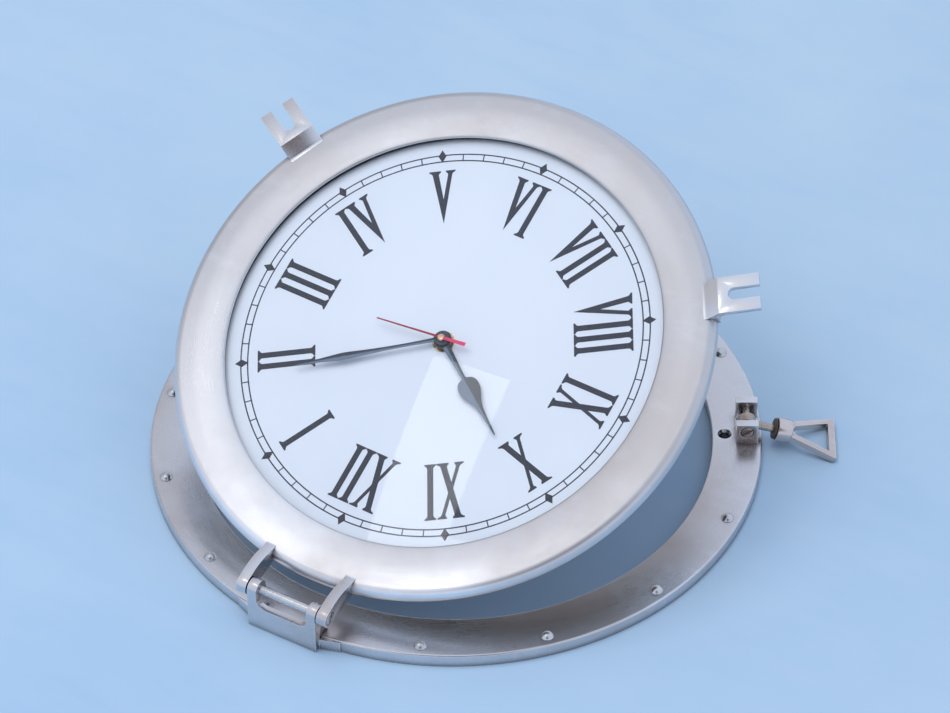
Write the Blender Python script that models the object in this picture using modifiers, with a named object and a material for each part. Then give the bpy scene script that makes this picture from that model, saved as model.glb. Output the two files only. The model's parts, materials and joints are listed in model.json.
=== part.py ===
"""Porthole-style ship's deck clock.

The origin is the centre of the base ring's back face, and +Z points out of the wall.  The hinge and
twelve o'clock lie towards -Y, so three o'clock lies towards -X.  Everything on the door is modelled
where it sits when the door is shut, and an empty on the hinge axis then swings it open.
"""

from math import atan2, cos, degrees, hypot, pi, radians, sin

import bmesh
import bpy
from mathutils import Matrix, Vector

# ---------------------------------------------------------------- driving dimensions, metres
GAP = 0.0003                  # air between two pieces that touch
RING_STEPS = 48               # segments round every large turned piece

# base ring
BASE_OUTER = 0.216
BASE_INNER = 0.181
BASE_THICK = 0.010
STATION_TURN = radians(24)    # fifteen stations round the base: hinge, two dogs, twelve rivets
RIVET_CIRCLE = 0.207
RIVET_HEAD = 0.0045
RIVET_SHANK = 0.0020
MOUNT_HOLE = 0.0035
MOUNT_CIRCLE = 0.1896

# hinge
HINGE_X = -0.0055             # the hinge sits slightly to one side of twelve o'clock
PIN_Y, PIN_Z = -0.2155, 0.0315
PIN_RADIUS = 0.0030
EAR_INNER, EAR_OUTER = 0.020, 0.027
ARM_INNER, ARM_OUTER = 0.028, 0.0355
BRACKET_BACK = -0.222
OPEN_ANGLE = radians(25)      # how far the door stands open at rest

# dogs: swinging eye bolts that clamp the door's fork lugs
DOG_ANGLES = {"right": radians(30), "left": radians(150)}
DOG_RADIUS = 0.205            # distance of the pivot from the clock's axis
DOG_Z = 0.021                 # height of the pivot
DOG_DROOP = radians(16.35)    # the loop's end bar then just meets the table or wall
BOLT_RADIUS = 0.0030
BOLT_END = 0.034
WASHER_FACE = 0.0197          # distance of the washer from the pivot
WASHER_THICK = 0.0015
LOOP_END = 0.065

# door ring, shut
DOOR_OUTER = 0.1925
DOOR_LIP = 0.1552
DOOR_CREST = 0.0260
LIP_UNDER = 0.0226
FLANGE_Z = 0.0173
SKIRT_OUTER = 0.187
LUG_TOP = 0.033
LUG_THICK = 0.004
LUG_HALF = 0.0135
LUG_END = 0.224
SLOT_ROOT = 0.2062
SLOT_HALF = 0.0045

# glass, dial and what clamps them, shut
SEAT_RADIUS = 0.1610
GLASS_Z, GLASS_THICK, GLASS_DOME = 0.0196, 0.0020, 0.0090
DIAL_Z, DIAL_THICK = 0.0163, 0.0012
SCREW_CIRCLE = 0.1658

# movement: its own frame has X and Y as the clock's, and z measured from the wall with the door shut
CASE_HALF = 0.028
CASE_BACK, CASE_FRONT = 0.0010, 0.0160
CASE_SPLIT = 0.0050
WALL = 0.0010
FLOOR_TOP = 0.0022            # inner face of the rear case
ROOF = 0.0150                 # inner face of the front case
BAY_WALL_Y = -0.0124          # middle of the wall between the battery and the wheels

THIRD_AT = (-0.0108, 0.0)
STEP_AT = (-0.00156, 0.00886)
ROTOR_AT = (0.00446, 0.01308)
MINUTE_AT = (0.0110, 0.0)

# time shown
DIAL_TURN = radians(-1.6)     # the dial sits slightly turned against the hinge
HOURS, MINUTES, SECONDS = 10, 9, 14

# ---------------------------------------------------------------- scene and collections
for old in list(bpy.data.objects):
    bpy.data.objects.remove(old, do_unlink=True)

PARTS = bpy.data.collections.new("ships_deck_clock")
CUTTERS = bpy.data.collections.new("cutters")
bpy.context.scene.collection.children.link(PARTS)
bpy.context.scene.collection.children.link(CUTTERS)


def look(name, colour, roughness, metallic, alpha=1.0):
    """A plain Principled material."""
    material = bpy.data.materials.new(name)
    material.use_nodes = True
    shader = material.node_tree.nodes["Principled BSDF"]
    shader.inputs["Base Color"].default_value = (*colour, 1)
    shader.inputs["Roughness"].default_value = roughness
    shader.inputs["Metallic"].default_value = metallic
    shader.inputs["Alpha"].default_value = alpha
    material.diffuse_color = (*colour, alpha)
    return material


NICKEL = look("nickel", (0.72, 0.70, 0.69), 0.32, 1.0)
STEEL = look("steel", (0.62, 0.61, 0.60), 0.25, 1.0)
GLASS = look("glass", (0.92, 0.96, 1.0), 0.03, 0.0, 0.2)
WHITE = look("dial_white", (0.86, 0.90, 0.95), 0.5, 0.0)
BLACK = look("black", (0.03, 0.035, 0.05), 0.4, 0.0)
RED = look("red", (0.65, 0.03, 0.12), 0.4, 0.0)
COPPER = look("copper", (0.85, 0.50, 0.35), 0.3, 1.0)
BRASS = look("brass", (0.80, 0.62, 0.30), 0.3, 1.0)
RUBBER = look("rubber", (0.02, 0.02, 0.02), 0.7, 0.0)
GEAR = look("gear_plastic", (0.90, 0.88, 0.80), 0.45, 0.0)
BOARD = look("board", (0.05, 0.28, 0.12), 0.5, 0.0)
CELL = look("cell", (0.15, 0.15, 0.17), 0.35, 0.3)


# ---------------------------------------------------------------- mesh helpers
def mesh_from(work):
    mesh = bpy.data.meshes.new("part")
    work.to_mesh(mesh)
    work.free()
    return mesh


def box(x, y, z):
    """A box between the limits (low, high) along each axis."""
    work = bmesh.new()
    bmesh.ops.create_cube(work, size=1.0)
    size = Vector((x[1] - x[0], y[1] - y[0], z[1] - z[0]))
    middle = Vector((x[1] + x[0], y[1] + y[0], z[1] + z[0])) / 2
    work.transform(Matrix.Translation(middle) @ Matrix.Diagonal((*size, 1)))
    return mesh_from(work)


def rod(radius, low, high, sides=16, at=(0, 0)):
    """A cylinder standing along Z."""
    work = bmesh.new()
    bmesh.ops.create_cone(work, cap_ends=True, segments=sides, radius1=radius, radius2=radius, depth=high - low)
    work.transform(Matrix.Translation((at[0], at[1], (high + low) / 2)))
    return mesh_from(work)


def evaluated(thing):
    """The object's mesh with its modifiers applied; the object itself is removed."""
    bpy.context.view_layer.update()
    graph = bpy.context.evaluated_depsgraph_get()
    mesh = bpy.data.meshes.new_from_object(thing.evaluated_get(graph))
    bpy.data.objects.remove(thing, do_unlink=True)
    return mesh


def turned(profile, steps=RING_STEPS, closed=True):
    """Turn an (r, z) outline about Z; it runs down its outer side."""
    mesh = bpy.data.meshes.new("profile")
    links = [(i, i + 1) for i in range(len(profile) - 1)]
    if closed:
        links.append((len(profile) - 1, 0))
    mesh.from_pydata([(r, 0, z) for r, z in profile], links, [])
    thing = bpy.data.objects.new("profile", mesh)
    PARTS.objects.link(thing)
    screw = thing.modifiers.new("turn", "SCREW")
    screw.angle = 2 * pi
    screw.steps = screw.render_steps = steps
    screw.use_merge_vertices = True
    screw.merge_threshold = 0.00001
    screw.use_smooth_shade = False
    return evaluated(thing)


def flat(loops, low, high):
    """A plate between two heights from closed outlines; inner outlines are holes."""
    curve = bpy.data.curves.new("outline", "CURVE")
    curve.dimensions = "2D"
    curve.fill_mode = "BOTH"
    curve.extrude = (high - low) / 2
    for points in loops:
        spline = curve.splines.new("POLY")
        spline.points.add(len(points) - 1)
        for place, point in zip(spline.points, points):
            place.co = (point[0], point[1], 0, 1)
        spline.use_cyclic_u = True
    thing = bpy.data.objects.new("outline", curve)
    PARTS.objects.link(thing)
    mesh = evaluated(thing)
    bpy.data.curves.remove(curve)
    work = bmesh.new()
    work.from_mesh(mesh)
    bmesh.ops.remove_doubles(work, verts=work.verts, dist=0.000002)
    bmesh.ops.recalc_face_normals(work, faces=work.faces)
    work.transform(Matrix.Translation((0, 0, (high + low) / 2)))
    bpy.data.meshes.remove(mesh)
    return mesh_from(work)


def joined(meshes):
    """One mesh that holds several separate cutters."""
    work = bmesh.new()
    for mesh in meshes:
        work.from_mesh(mesh)
    return mesh_from(work)


def moved(mesh, matrix):
    copy = mesh.copy()
    copy.transform(matrix)
    return copy


def shifted(mesh, x=0.0, y=0.0, z=0.0):
    return moved(mesh, Matrix.Translation((x, y, z)))


def turned_about(angle, axis="Z"):
    return Matrix.Rotation(angle, 4, axis)


# a plate drawn in X and Y becomes one drawn in Y and Z, extruded along X
SIDEWAYS = Matrix(((0, 0, 1, 0), (1, 0, 0, 0), (0, 1, 0, 0), (0, 0, 0, 1)))
# a plate drawn in X and Y becomes one drawn in X and Z, extruded along Y
UPRIGHT = Matrix(((1, 0, 0, 0), (0, 0, -1, 0), (0, 1, 0, 0), (0, 0, 0, 1)))


def circle(radius, steps, at=(0.0, 0.0), start=0.0):
    return [(at[0] + radius * cos(start + 2 * pi * i / steps),
             at[1] + radius * sin(start + 2 * pi * i / steps)) for i in range(steps)]


def arc(centre, radius, first, last, steps):
    """Points along an arc between two angles in degrees; no steps give its first point."""
    angles = [radians(first + (last - first) * i / max(1, steps)) for i in range(steps + 1)]
    return [(centre[0] + radius * cos(a), centre[1] + radius * sin(a)) for a in angles]


def rounded_box(half_x, half_y, radius, steps=3):
    points = []
    for corner, (sx, sy) in enumerate(((1, 1), (-1, 1), (-1, -1), (1, -1))):
        middle = (sx * (half_x - radius), sy * (half_y - radius))
        points += arc(middle, radius, 90 * corner, 90 * corner + 90, steps)
    return points


# ---------------------------------------------------------------- object helpers
def part(name, mesh, material, parent=None, smooth=35):
    """A named sub-part; its mesh is in its parent's coordinates."""
    mesh.materials.clear()
    mesh.materials.append(material)
    mesh.shade_smooth()
    mesh.set_sharp_from_angle(angle=radians(smooth))
    thing = bpy.data.objects.new(name, mesh)
    thing.parent = parent
    PARTS.objects.link(thing)
    return thing


def combine(thing, mesh, operation):
    """Cut, join or intersect the object with a mesh given in the object's own coordinates."""
    tool = bpy.data.objects.new(thing.name + "_" + operation.lower(), mesh)
    tool.parent = thing.parent
    tool.matrix_basis = thing.matrix_basis
    tool.hide_render = True
    tool.display_type = "WIRE"
    CUTTERS.objects.link(tool)
    modifier = thing.modifiers.new(operation.lower(), "BOOLEAN")
    modifier.operation = operation
    modifier.solver = "EXACT"
    modifier.object = tool


def cut(thing, mesh):
    combine(thing, mesh, "DIFFERENCE")


def weld(thing, mesh):
    combine(thing, mesh, "UNION")


def empty(name, place, rotation=None, parent=None):
    thing = bpy.data.objects.new(name, None)
    thing.empty_display_size = 0.02
    thing.parent = parent
    turn = rotation if rotation is not None else Matrix.Identity(4)
    thing.matrix_basis = Matrix.Translation(place) @ turn
    PARTS.objects.link(thing)
    return thing


# ================================================================ base
def make_base():
    edge = 0.0012
    profile = [(BASE_INNER, BASE_THICK - 0.0008), (BASE_INNER + 0.0008, BASE_THICK),
               (BASE_OUTER - edge, BASE_THICK), (BASE_OUTER, BASE_THICK - edge),
               (BASE_OUTER, 0), (BASE_INNER, 0)]
    ring = part("base_ring", turned(profile), NICKEL)

    rivet_angles = [-pi / 2 + STATION_TURN * k for k in range(15) if k % 5]
    spots = [(RIVET_CIRCLE * cos(a), RIVET_CIRCLE * sin(a)) for a in rivet_angles]
    drills = [rod(RIVET_SHANK + GAP, -0.001, 0.011, 8, spot) for spot in spots]
    cut(ring, joined(drills))
    sink = turned([(0, 0.011), (0.0058, 0.011), (0.0048, BASE_THICK), (MOUNT_HOLE, 0.0080),
                   (MOUNT_HOLE, -0.001), (0, -0.001)], 24, closed=False)
    sinks = [shifted(sink, MOUNT_CIRCLE * cos(a), MOUNT_CIRCLE * sin(a)) for a in DOG_ANGLES.values()]
    cut(ring, joined(sinks))

    head = BASE_THICK + GAP
    dome = [(0, head + 0.0030), (0.0030, head + 0.0022), (RIVET_HEAD, head + 0.0005), (RIVET_HEAD, head),
            (RIVET_SHANK, head), (RIVET_SHANK, 0.001), (0, 0.001)]
    rivet = turned(dome, 8, closed=False)
    for number, spot in enumerate(spots, 1):
        part(f"rivet_{number:02d}", shifted(rivet, *spot), NICKEL)


def make_hinge():
    """U-shaped bracket wrapped over the ring's edge, and the pin through its ears."""
    front_low, ear_top = 0.0005, PIN_Z + 0.0075
    web_top, fillet = 0.0195, 0.007
    left = [(-EAR_OUTER, front_low), (-EAR_OUTER, ear_top), (-EAR_INNER, ear_top)]
    left += arc((-EAR_INNER + fillet, web_top + fillet), fillet, 180, 270, 4)
    outline = left + [(-x, z) for x, z in reversed(left)]
    depth = 0.016
    front = moved(flat([outline], 0.0, depth),
                  Matrix.Translation((HINGE_X, BRACKET_BACK + depth, 0)) @ UPRIGHT)
    bracket = part("hinge_bracket", front, NICKEL)

    round_top = 0.0065
    side = [(BRACKET_BACK - 0.001, front_low - 0.001), (BRACKET_BACK, PIN_Z)]
    side += arc((PIN_Y, PIN_Z), round_top, 180, 0, 8)
    side += [(-0.2062, BASE_THICK + GAP), (-0.2168, BASE_THICK + GAP), (-0.2168, front_low - 0.001)]
    combine(bracket, moved(flat([side], -0.04, 0.04), SIDEWAYS), "INTERSECT")
    cut(bracket, box((HINGE_X - EAR_INNER, HINGE_X + EAR_INNER), (-0.2168, -0.200), (0.005, 0.05)))

    # foot that follows the ring's edge to both sides and thins out
    spread, steps = 11, 10
    middle = -90 + degrees(HINGE_X / BASE_OUTER)
    foot = []
    for k in range(steps + 1):
        turn = 2 * k / steps - 1
        radius = BASE_OUTER + 0.0009 + 0.0049 * (1 - turn ** 2)
        foot += arc((0, 0), radius, middle + spread * turn, middle + spread * turn, 0)
    foot += arc((0, 0), BASE_OUTER + 0.0005, middle + spread, middle - spread, steps)
    weld(bracket, flat([foot], front_low, 0.0092))
    cut(bracket, moved(rod(PIN_RADIUS + GAP, -0.05, 0.05, 16),
                       Matrix.Translation((0, PIN_Y, PIN_Z)) @ turned_about(pi / 2, "Y")))

    pin_axis = Matrix.Translation((HINGE_X, PIN_Y, PIN_Z)) @ turned_about(pi / 2, "Y")
    head_start = ARM_OUTER - 0.0022
    profile = [(0, ARM_OUTER + 0.0004), (0.0040, ARM_OUTER + 0.0004), (0.0046, ARM_OUTER - 0.0002),
               (0.0046, head_start), (PIN_RADIUS, head_start), (PIN_RADIUS, -ARM_OUTER), (0, -ARM_OUTER)]
    pin = part("hinge_pin", moved(turned(profile, 16, closed=False), pin_axis), STEEL)
    slot = box((ARM_OUTER - 0.0010, ARM_OUTER + 0.002), (-0.0005, 0.0005), (-0.006, 0.006))
    cut(pin, moved(slot, Matrix.Translation((HINGE_X, PIN_Y, PIN_Z)) @ turned_about(radians(-28), "X")))


def make_dog(side):
    """Clevis, pivot screw, eye bolt, washer and loop nut at one side of the door."""
    angle = DOG_ANGLES[side]
    hand = 1 if side == "right" else -1       # the left dog is the right one mirrored
    flip = Matrix.Diagonal((1, hand, 1, 1))

    def handed(mesh):
        """Mirror a mesh about the plane of the bolt for the left side."""
        work = bmesh.new()
        work.from_mesh(mesh)
        work.transform(flip)
        if hand < 0:
            bmesh.ops.reverse_faces(work, faces=work.faces)
        return mesh_from(work)

    # the stand has X outward and Y along the pivot, whose axis is its own Y axis
    stand = empty("dog_stand_" + side, (0, 0, 0), turned_about(angle))
    near, eye, far = -0.0103, 0.0040, 0.0197
    lug = 0.0060
    low = BASE_THICK + GAP
    top = DOG_Z + 0.0065
    inner, outer = DOG_RADIUS - 0.0075, DOG_RADIUS + 0.0078
    clevis = part("dog_clevis_" + side, handed(box((inner, outer), (near, far), (low, top))), NICKEL, stand)
    cut(clevis, handed(box((inner - 0.001, outer + 0.001), (near + lug, far - lug), (low + 0.0022, 0.04))))
    across = Matrix.Translation((DOG_RADIUS, 0, DOG_Z)) @ turned_about(-pi / 2, "X")
    cut(clevis, handed(moved(rod(0.0025 + GAP, near - 0.001, far + 0.001, 14), across)))
    cut(clevis, handed(moved(rod(0.0045 + GAP, near - 0.001, near + 0.0024, 20), across)))

    head = [(0, far - 0.001), (0.0025, far - 0.001), (0.0025, near + 0.0021), (0.0045, near + 0.0021),
            (0.0045, near + 0.0004), (0.0038, near - 0.0002), (0, near - 0.0002)]
    screw = part("dog_pivot_screw_" + side, handed(moved(turned(head, 16, closed=False), across)), STEEL, stand)
    notch = box((-0.0048, 0.0048), (near - 0.001, near + 0.0009), (-0.0005, 0.0005))
    cut(screw, handed(moved(notch, Matrix.Translation((DOG_RADIUS, 0, DOG_Z)) @ turned_about(radians(-35), "Y"))))

    # the pivot has X along the bolt, drooping towards the table
    pivot = empty("dog_pivot_" + side, (DOG_RADIUS, 0, DOG_Z), turned_about(DOG_DROOP, "Y"), stand)
    along = turned_about(pi / 2, "Y")
    bolt = part("dog_eyebolt_" + side,
                moved(rod(0.0065, -eye, eye, 20), turned_about(-pi / 2, "X")), STEEL, pivot)
    weld(bolt, moved(rod(BOLT_RADIUS, 0.0040, BOLT_END, 16), along))
    cut(bolt, moved(rod(0.0025 + GAP, -0.01, 0.01, 14), turned_about(-pi / 2, "X")))

    face = WASHER_FACE
    bore = BOLT_RADIUS + GAP
    washer = [(0.0075, face + WASHER_THICK), (0.0075, face), (bore, face), (bore, face + WASHER_THICK)]
    part("dog_washer_" + side, moved(turned(washer, 16), along), STEEL, pivot)

    hub_start, hub_end = face + WASHER_THICK + GAP, 0.0325
    hub_radius, chamfer = 0.0085, 0.0008
    hub = [(0, hub_end), (hub_radius, hub_end), (hub_radius, hub_start + chamfer),
           (hub_radius - chamfer, hub_start), (0, hub_start)]
    nut = part("dog_nut_" + side, moved(turned(hub, 20, closed=False), along), NICKEL, pivot)
    half = 0.0025
    outer_loop = [(hub_end - 0.0025, -0.0068), (LOOP_END - 0.0012, -0.0200), (LOOP_END, -0.0188),
                  (LOOP_END, 0.0188), (LOOP_END - 0.0012, 0.0200), (hub_end - 0.0025, 0.0068)]
    weld(nut, flat([outer_loop], -half, half))
    inner_loop = [(0.0348, -0.0040), (0.0600, -0.0141), (0.0600, 0.0141), (0.0348, 0.0040)]
    cut(nut, flat([inner_loop], -0.01, 0.01))
    cut(nut, moved(rod(bore, 0.0, 0.0360, 16), along))


# ================================================================ door
def door_profile(grow=0.0):
    """Section of the door ring; grow moves its outer skin outwards for a cutter."""
    g = grow
    top = [(DOOR_LIP, 0.0236 + g), (0.1565, 0.0244 + g), (0.1650, 0.0255 + g), (0.1760, DOOR_CREST + g)]
    edge = arc((0.1860, 0.0193), 0.0065 + g, 84, 0, 4)
    under = [(DOOR_OUTER + g, FLANGE_Z + 0.0005), (DOOR_OUTER - 0.0005 + g, FLANGE_Z - g),
             (SKIRT_OUTER + g, FLANGE_Z - g), (SKIRT_OUTER + g, BASE_THICK + GAP - g)]
    return top + edge + under


def make_door(hinge):
    back = Matrix.Translation((0, -PIN_Y, -PIN_Z))     # shut position, seen from the hinge empty

    inside = [(0.1820, BASE_THICK + GAP), (0.1820, 0.0208), (0.1705, 0.0208), (0.1705, DIAL_Z),
              (SEAT_RADIUS + GAP, DIAL_Z), (SEAT_RADIUS + GAP, LIP_UNDER), (DOOR_LIP, LIP_UNDER)]
    ring = part("door_ring", moved(turned(door_profile() + inside), back), NICKEL, hinge)
    turns = [pi / 2 + 2 * pi * k / 3 for k in range(3)]
    spots = [(SCREW_CIRCLE * cos(a), SCREW_CIRCLE * sin(a)) for a in turns]
    cut(ring, joined([moved(rod(0.0015 + GAP, 0.012, 0.0212, 8, s), back) for s in spots]))

    # a solid of revolution just larger than the door, to fit the lugs and arms to its skin
    skin = turned([(0, DOOR_CREST + GAP)] + door_profile(GAP) + [(0, BASE_THICK)], closed=False)
    skin = moved(skin, back)

    for side, angle in DOG_ANGLES.items():
        low = LUG_TOP - LUG_THICK
        section = [(LUG_END, low), (LUG_END, LUG_TOP), (0.1950, LUG_TOP), (0.1850, 0.0258),
                   (0.1800, 0.0235), (0.1800, 0.0185), (0.1938, 0.0185),
                   (0.1942, 0.0225), (0.1956, 0.0268), (0.1985, low)]
        # drawn in X and Z, extruded along Y
        plate = moved(flat([section], -LUG_HALF, LUG_HALF), UPRIGHT)
        lug = part("fork_lug_" + side, moved(plate, back @ turned_about(angle)), NICKEL, hinge)
        mouth = flat([arc((SLOT_ROOT, 0), SLOT_HALF, 90, 270, 8) + [(0.230, -SLOT_HALF), (0.230, SLOT_HALF)]],
                     0.020, 0.040)
        cut(lug, moved(mouth, back @ turned_about(angle)))
        cut(lug, skin)

    for side, sign in (("right", 1), ("left", -1)):
        eye = 0.0068
        section = arc((PIN_Y, PIN_Z), eye, 250, 80, 9)
        section += [(-0.2060, 0.0370), (-0.1995, 0.0352), (-0.1925, 0.0320), (-0.1860, 0.0280),
                    (-0.1815, 0.0257), (-0.1815, 0.0225), (-0.1900, 0.0186), (-0.1930, 0.0183),
                    (-0.2030, 0.0212)]
        low, high = sorted((HINGE_X + sign * ARM_INNER, HINGE_X + sign * ARM_OUTER))
        arm = part("hinge_arm_" + side, moved(flat([section], low, high), back @ SIDEWAYS), NICKEL, hinge)
        bore = rod(PIN_RADIUS + GAP, -0.05, 0.05, 16)
        cut(arm, moved(bore, turned_about(pi / 2, "Y")))
        if side == "right":
            seat = rod(0.0046 + GAP, HINGE_X + ARM_OUTER - 0.0022 - GAP, 0.05, 16)
            cut(arm, moved(seat, turned_about(pi / 2, "Y")))
        cut(arm, skin)

    # glass: a flat rim and a shallow dome
    rim = 0.1580
    high, low = GLASS_Z + GLASS_THICK, GLASS_Z
    spans = [0.0, 0.055, 0.100, 0.130]
    outer = [(r, high + GLASS_DOME * (1 - (r / rim) ** 2)) for r in spans] + [(rim, high)]
    inner = [(r, low + GLASS_DOME * (1 - (r / rim) ** 2)) for r in spans] + [(rim, low)]
    profile = outer + [(SEAT_RADIUS - 0.0003, high), (SEAT_RADIUS - 0.0003, low)] + inner[::-1]
    part("glass", moved(turned(profile, closed=False), back), GLASS, hinge)

    gasket = [(SEAT_RADIUS - GAP, LIP_UNDER - GAP), (SEAT_RADIUS - GAP, high + GAP),
              (0.1565, high + GAP), (0.1565, LIP_UNDER - GAP)]
    part("glass_gasket", moved(turned(gasket), back), RUBBER, hinge)
    space = [(SEAT_RADIUS - GAP, GLASS_Z - GAP), (SEAT_RADIUS - GAP, DIAL_Z + DIAL_THICK + GAP),
             (0.1570, DIAL_Z + DIAL_THICK + GAP), (0.1570, GLASS_Z - GAP)]
    part("spacer_ring", moved(turned(space), back), BLACK, hinge)

    dial = [(SEAT_RADIUS - GAP, DIAL_Z + DIAL_THICK), (SEAT_RADIUS - GAP, DIAL_Z), (0.0043, DIAL_Z),
            (0.0043, DIAL_Z + DIAL_THICK)]
    part("dial_plate", moved(turned(dial), back), WHITE, hinge)

    high, low = DIAL_Z - GAP, 0.0142
    clamp = part("retaining_ring", moved(turned([(0.1695, high), (0.1695, low), (0.1500, low),
                                                 (0.1500, high)]), back), STEEL, hinge)
    cut(clamp, joined([moved(rod(0.0015 + GAP, 0.010, 0.020, 8, s), back) for s in spots]))
    shank = [(0, 0.0200), (0.0015, 0.0200), (0.0015, low - GAP), (0.0030, low - GAP), (0.0030, 0.0123),
             (0, 0.0123)]
    screw = turned(shank, 8, closed=False)
    for number, spot in enumerate(spots, 1):
        part(f"retaining_screw_{number}", moved(shifted(screw, *spot), back), STEEL, hinge)


# ================================================================ movement
def gear(teeth, module, phase):
    """Outline of a small toothed wheel, with thin pointed teeth for backlash."""
    pitch = module * teeth / 2
    add, drop = 0.85 * module, 1.35 * module
    step = 2 * pi / teeth
    half = 0.22 * step
    points = []
    for k in range(teeth):
        middle = phase + k * step
        for radius, offset in ((pitch - drop, -half), (pitch + add, 0), (pitch - drop, half)):
            points.append((radius * cos(middle + offset), radius * sin(middle + offset)))
    return [points]


def facing(here, there):
    """Direction from one wheel's centre to another's."""
    return atan2(there[1] - here[1], there[0] - here[0])


def wheel(name, frame, at, body, extra):
    """A wheel on its own axis: the first mesh is joined with the others."""
    axis = empty(name + "_axis", (at[0], at[1], 0), None, frame)
    thing = part(name, body, GEAR, axis)
    for mesh in extra:
        weld(thing, mesh)
    return axis


def make_train(frame):
    """Gear train from rotor to hour wheel; each mesh is phased tooth to gap."""
    centre = (0.0, 0.0)
    m_rotor = 2 * hypot(ROTOR_AT[0] - STEP_AT[0], ROTOR_AT[1] - STEP_AT[1]) / (36 + 6)
    m_step = 2 * hypot(*STEP_AT) / (30 + 6)
    m_third = 2 * hypot(*THIRD_AT) / (45 + 6)
    m_centre = 2 * hypot(*THIRD_AT) / (48 + 6)
    m_minute = 2 * hypot(*MINUTE_AT) / (30 + 10)
    m_hour = 2 * hypot(*MINUTE_AT) / (32 + 8)
    thin, pivot_low = 0.0005, 0.0018

    a = facing(ROTOR_AT, STEP_AT)
    wheel("rotor", frame, ROTOR_AT, flat(gear(6, m_rotor, a), 0.0033, 0.0047),
          [rod(thin, pivot_low, 0.0090, 8), rod(0.0032, 0.0058, 0.0082, 12)])
    b = facing(STEP_AT, centre)
    wheel("step_wheel", frame, STEP_AT,
          flat(gear(36, m_rotor, a + pi + pi / 36), 0.0036, 0.0044),
          [rod(thin, pivot_low, 0.0090, 8), flat(gear(6, m_step, b), 0.0040, 0.0063)])
    c = facing(centre, THIRD_AT)
    seconds = wheel("seconds_wheel", frame, centre,
                    flat(gear(30, m_step, b + pi + pi / 30), 0.0052, 0.0060),
                    [rod(thin, pivot_low, 0.0258, 8), flat(gear(6, m_third, c), 0.0056, 0.0079)])
    wheel("third_wheel", frame, THIRD_AT,
          flat(gear(45, m_third, c + pi + pi / 45), 0.0068, 0.0076),
          [rod(0.0006, pivot_low, 0.0154, 8), flat(gear(6, m_centre, c + pi), 0.0096, 0.0110)])

    d = facing(centre, MINUTE_AT)
    bore = 0.0008
    minutes = wheel("centre_wheel", frame, centre,
                    flat(gear(48, m_centre, c + pi / 48), 0.0099, 0.0107),
                    [rod(0.0015, 0.0096, 0.0242, 14), flat(gear(10, m_minute, d), 0.0103, 0.0128)])
    cut(bpy.data.objects["centre_wheel"], rod(bore, 0.009, 0.026, 12))
    knob_low, knob_high, ridges = 0.0012, 0.0034, 12
    knob = [circle(0.0050 - 0.0005 * (k % 2), 1, start=pi * k / ridges)[0] for k in range(2 * ridges)]
    wheel("minute_wheel", frame, MINUTE_AT,
          flat(gear(30, m_minute, d + pi + pi / 30), 0.0116, 0.0124),
          [rod(0.0008, knob_high - 0.0002, 0.0154, 8), flat(gear(8, m_hour, d + pi), 0.0120, 0.0142),
           flat([knob], knob_low, knob_high)])

    hours = wheel("hour_wheel", frame, centre, flat(gear(32, m_hour, d + pi / 32), 0.0132, 0.0140),
                  [rod(0.0026, 0.0132, 0.0224, 16)])
    cut(bpy.data.objects["hour_wheel"], rod(0.0018, 0.012, 0.024, 14))
    return seconds, minutes, hours


def hand_outline(spans, tail):
    """Both edges of a hand from (distance, half width) pairs, with a tail arc behind."""
    return tail + spans + [(x, -w) for x, w in reversed(spans)]


def clock_angle(turns):
    """Direction of a hand that has made this share of a turn from twelve."""
    return -pi / 2 - 2 * pi * turns + DIAL_TURN


def make_hands(seconds, minutes, hours):
    time_seconds = SECONDS / 60
    time_minutes = (MINUTES + time_seconds) / 60
    time_hours = (HOURS + time_minutes) / 12

    boss = 0.0066
    spans = [(0.0200, 0.0019), (0.0345, 0.0014), (0.0353, 0.0044), (0.0385, 0.0070),
             (0.0430, 0.0077), (0.0480, 0.0070), (0.0540, 0.0044), (0.0610, 0.0021), (0.0700, 0.0014),
             (0.0840, 0.0007)]
    tail = arc((0, 0), boss, 338, 22, 16)
    hour = flat([hand_outline(spans, tail), circle(0.0029, 14)], 0.0215, 0.0221)
    part("hour_hand", moved(hour, turned_about(clock_angle(time_hours))), BLACK, hours)

    spans = [(0.0200, 0.0013), (0.0480, 0.0016), (0.0640, 0.0026), (0.0700, 0.0028),
             (0.0800, 0.0021), (0.0900, 0.0013), (0.1060, 0.0005)]
    tail = arc((0, 0), 0.0055, 343, 17, 14)
    minute = flat([hand_outline(spans, tail), circle(0.0018, 12)], 0.0231, 0.0237)
    part("minute_hand", moved(minute, turned_about(clock_angle(time_minutes))), BLACK, minutes)

    bore = 0.0008
    needle = [(-0.0185, 0.0014), (-0.0185, -0.0014), (-0.0030, -0.0011), (0.0, -0.0020), (0.0030, -0.0006),
              (0.0500, -0.0003), (0.0500, 0.0003), (0.0030, 0.0006), (0.0, 0.0020), (-0.0030, 0.0011)]
    second = flat([needle[::-1]], 0.0251, 0.0255)
    thing = part("second_hand", moved(second, turned_about(clock_angle(time_seconds))), RED, seconds)
    weld(thing, rod(0.0027, 0.0246, 0.0262, 16))
    cut(thing, rod(bore, 0.024, 0.0259, 10))


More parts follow.
